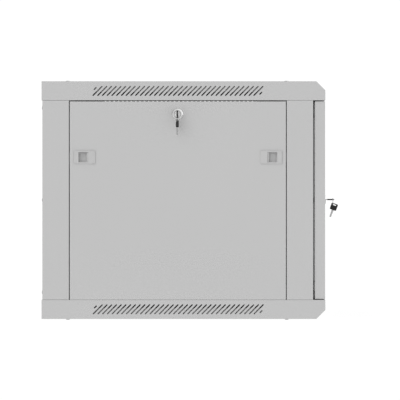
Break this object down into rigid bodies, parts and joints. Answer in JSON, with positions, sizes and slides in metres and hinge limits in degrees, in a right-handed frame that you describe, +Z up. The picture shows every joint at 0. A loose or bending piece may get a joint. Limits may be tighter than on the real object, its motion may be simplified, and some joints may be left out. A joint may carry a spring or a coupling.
{
  "type": "network rack cabinet",
  "caption": "Light grey wall-mounted rack cabinet with vented caps, glass door, removable latched side panels, cam locks with keys and sliding equipment rails.",
  "frame": {"origin": "middle of the floor plate's underside", "axes": "+Z up, the door at -Y, the wall side at +Y, the left side panel at -X"},
  "size_m": [0.6486, 0.6275, 0.5059],
  "materials": {
    "grey_paint": "fine-textured light grey powder coat",
    "zinc_steel": "bright zinc-plated steel",
    "chrome": "polished chrome plate",
    "nickel": "satin nickel plate",
    "grey_plastic": "moulded light grey plastic, fine grain",
    "black_plastic": "moulded black plastic",
    "seal_rubber": "dull grey foam rubber",
    "door_glass": "tinted toughened glass"
  },
  "bodies": {
    "root": {"top_cap": "grey_paint", "bottom_cap": "grey_paint", "roof_cable_cover": "grey_paint", "floor_cable_cover": "grey_paint", "back_panel": "grey_paint", "earth_stud": "zinc_steel", "post_front_left": "grey_paint", "top_screw_front_left": "zinc_steel", "bottom_screw_front_left": "zinc_steel", "post_rear_left": "grey_paint", "top_screw_rear_left": "zinc_steel", "bottom_screw_rear_left": "zinc_steel", "depth_rail_lower_left": "zinc_steel", "depth_rail_upper_left": "zinc_steel", "post_front_right": "grey_paint", "top_screw_front_right": "zinc_steel", "bottom_screw_front_right": "zinc_steel", "post_rear_right": "grey_paint", "top_screw_rear_right": "zinc_steel", "bottom_screw_rear_right": "zinc_steel", "depth_rail_lower_right": "zinc_steel", "depth_rail_upper_right": "zinc_steel"},
    "door": {"door_frame": "grey_paint", "door_glass": "door_glass", "door_seal": "seal_rubber", "door_lock_housing": "chrome"},
    "hinge_pin_upper": {"hinge_pin_upper": "zinc_steel"},
    "hinge_pin_lower": {"hinge_pin_lower": "zinc_steel"},
    "door_lock": {"door_lock_plug": "nickel", "door_lock_cam": "zinc_steel", "door_key": "black_plastic"},
    "door_spare": {"door_key_ring": "nickel", "door_spare_key": "black_plastic"},
    "left_panel": {"left_side_panel": "grey_paint", "left_lock_housing": "chrome", "left_latch_front_case": "grey_plastic", "left_latch_rear_case": "grey_plastic"},
    "left_lock": {"left_lock_plug": "nickel", "left_lock_cam": "zinc_steel", "left_key": "black_plastic"},
    "left_spare": {"left_key_ring": "nickel", "left_spare_key": "black_plastic"},
    "left_latch_front": {"left_latch_front_bolt": "grey_plastic"},
    "rail_front_left": {"mounting_rail_front_left": "zinc_steel"},
    "left_latch_rear": {"left_latch_rear_bolt": "grey_plastic"},
    "rail_rear_left": {"mounting_rail_rear_left": "zinc_steel"},
    "right_panel": {"right_side_panel": "grey_paint", "right_lock_housing": "chrome", "right_latch_front_case": "grey_plastic", "right_latch_rear_case": "grey_plastic"},
    "right_lock": {"right_lock_plug": "nickel", "right_lock_cam": "zinc_steel", "right_key": "black_plastic"},
    "right_spare": {"right_key_ring": "nickel", "right_spare_key": "black_plastic"},
    "right_latch_front": {"right_latch_front_bolt": "grey_plastic"},
    "rail_front_right": {"mounting_rail_front_right": "zinc_steel"},
    "right_latch_rear": {"right_latch_rear_bolt": "grey_plastic"},
    "rail_rear_right": {"mounting_rail_rear_right": "zinc_steel"}
  },
  "joints": [
    {"name": "door_swing", "type": "hinge", "parent": "root", "child": "door", "pos_m": [0.289, -0.2895, 0.2512], "axis": [0, 0, 1], "range_deg": [0, 180]},
    {"name": "hinge_pin_upper_pull", "type": "slide", "parent": "door", "child": "hinge_pin_upper", "axis": [0, 0, -1], "range_m": [0, 0.009]},
    {"name": "hinge_pin_lower_pull", "type": "slide", "parent": "door", "child": "hinge_pin_lower", "axis": [0, 0, 1], "range_m": [0, 0.009]},
    {"name": "door_lock_turn", "type": "hinge", "parent": "door", "child": "door_lock", "pos_m": [-0.266, -0.2997, 0.2525], "axis": [0, -1, 0], "range_deg": [0, 90]},
    {"name": "door_spare_hang", "type": "hinge", "parent": "door_lock", "child": "door_spare", "pos_m": [-0.27175, -0.3169, 0.2525], "axis": [0, -1, 0], "range_deg": [-90, 0]},
    {"name": "left_panel_tilt", "type": "hinge", "parent": "root", "child": "left_panel", "pos_m": [-0.3, 0.01185, 0.0405], "axis": [0, -1, 0], "range_deg": [0, 30]},
    {"name": "left_lock_turn", "type": "hinge", "parent": "left_panel", "child": "left_lock", "pos_m": [-0.3, 0.0129, 0.4325], "axis": [-1, 0, 0], "range_deg": [0, 90]},
    {"name": "left_spare_hang", "type": "hinge", "parent": "left_lock", "child": "left_spare", "pos_m": [-0.3172, 0.0129, 0.42675], "axis": [-1, 0, 0], "range_deg": [-90, 0]},
    {"name": "left_latch_front_slide", "type": "slide", "parent": "left_panel", "child": "left_latch_front", "axis": [0, -1, 0], "range_m": [-0.003, 0.0055]},
    {"name": "rail_front_left_slide", "type": "slide", "parent": "root", "child": "rail_front_left", "axis": [0, 1, 0], "range_m": [-0.015, 0.15]},
    {"name": "left_latch_rear_slide", "type": "slide", "parent": "left_panel", "child": "left_latch_rear", "axis": [0, 1, 0], "range_m": [-0.003, 0.0055]},
    {"name": "rail_rear_left_slide", "type": "slide", "parent": "root", "child": "rail_rear_left", "axis": [0, 1, 0], "range_m": [-0.15, 0.015]},
    {"name": "right_panel_tilt", "type": "hinge", "parent": "root", "child": "right_panel", "pos_m": [0.3, 0.01185, 0.0405], "axis": [0, 1, 0], "range_deg": [0, 30]},
    {"name": "right_lock_turn", "type": "hinge", "parent": "right_panel", "child": "right_lock", "pos_m": [0.3, 0.0129, 0.4325], "axis": [1, 0, 0], "range_deg": [0, 90]},
    {"name": "right_spare_hang", "type": "hinge", "parent": "right_lock", "child": "right_spare", "pos_m": [0.3172, 0.0129, 0.42675], "axis": [1, 0, 0], "range_deg": [-90, 0]},
    {"name": "right_latch_front_slide", "type": "slide", "parent": "right_panel", "child": "right_latch_front", "axis": [0, -1, 0], "range_m": [-0.003, 0.0055]},
    {"name": "rail_front_right_slide", "type": "slide", "parent": "root", "child": "rail_front_right", "axis": [0, 1, 0], "range_m": [-0.015, 0.15]},
    {"name": "right_latch_rear_slide", "type": "slide", "parent": "right_panel", "child": "right_latch_rear", "axis": [0, 1, 0], "range_m": [-0.003, 0.0055]},
    {"name": "rail_rear_right_slide", "type": "slide", "parent": "root", "child": "rail_rear_right", "axis": [0, 1, 0], "range_m": [-0.15, 0.015]}
  ],
  "couplings": [
    {"joint": "door_spare_hang", "follows": "door_lock_turn", "ratio": -1},
    {"joint": "left_spare_hang", "follows": "left_lock_turn", "ratio": -1},
    {"joint": "right_spare_hang", "follows": "right_lock_turn", "ratio": -1}
  ]
}
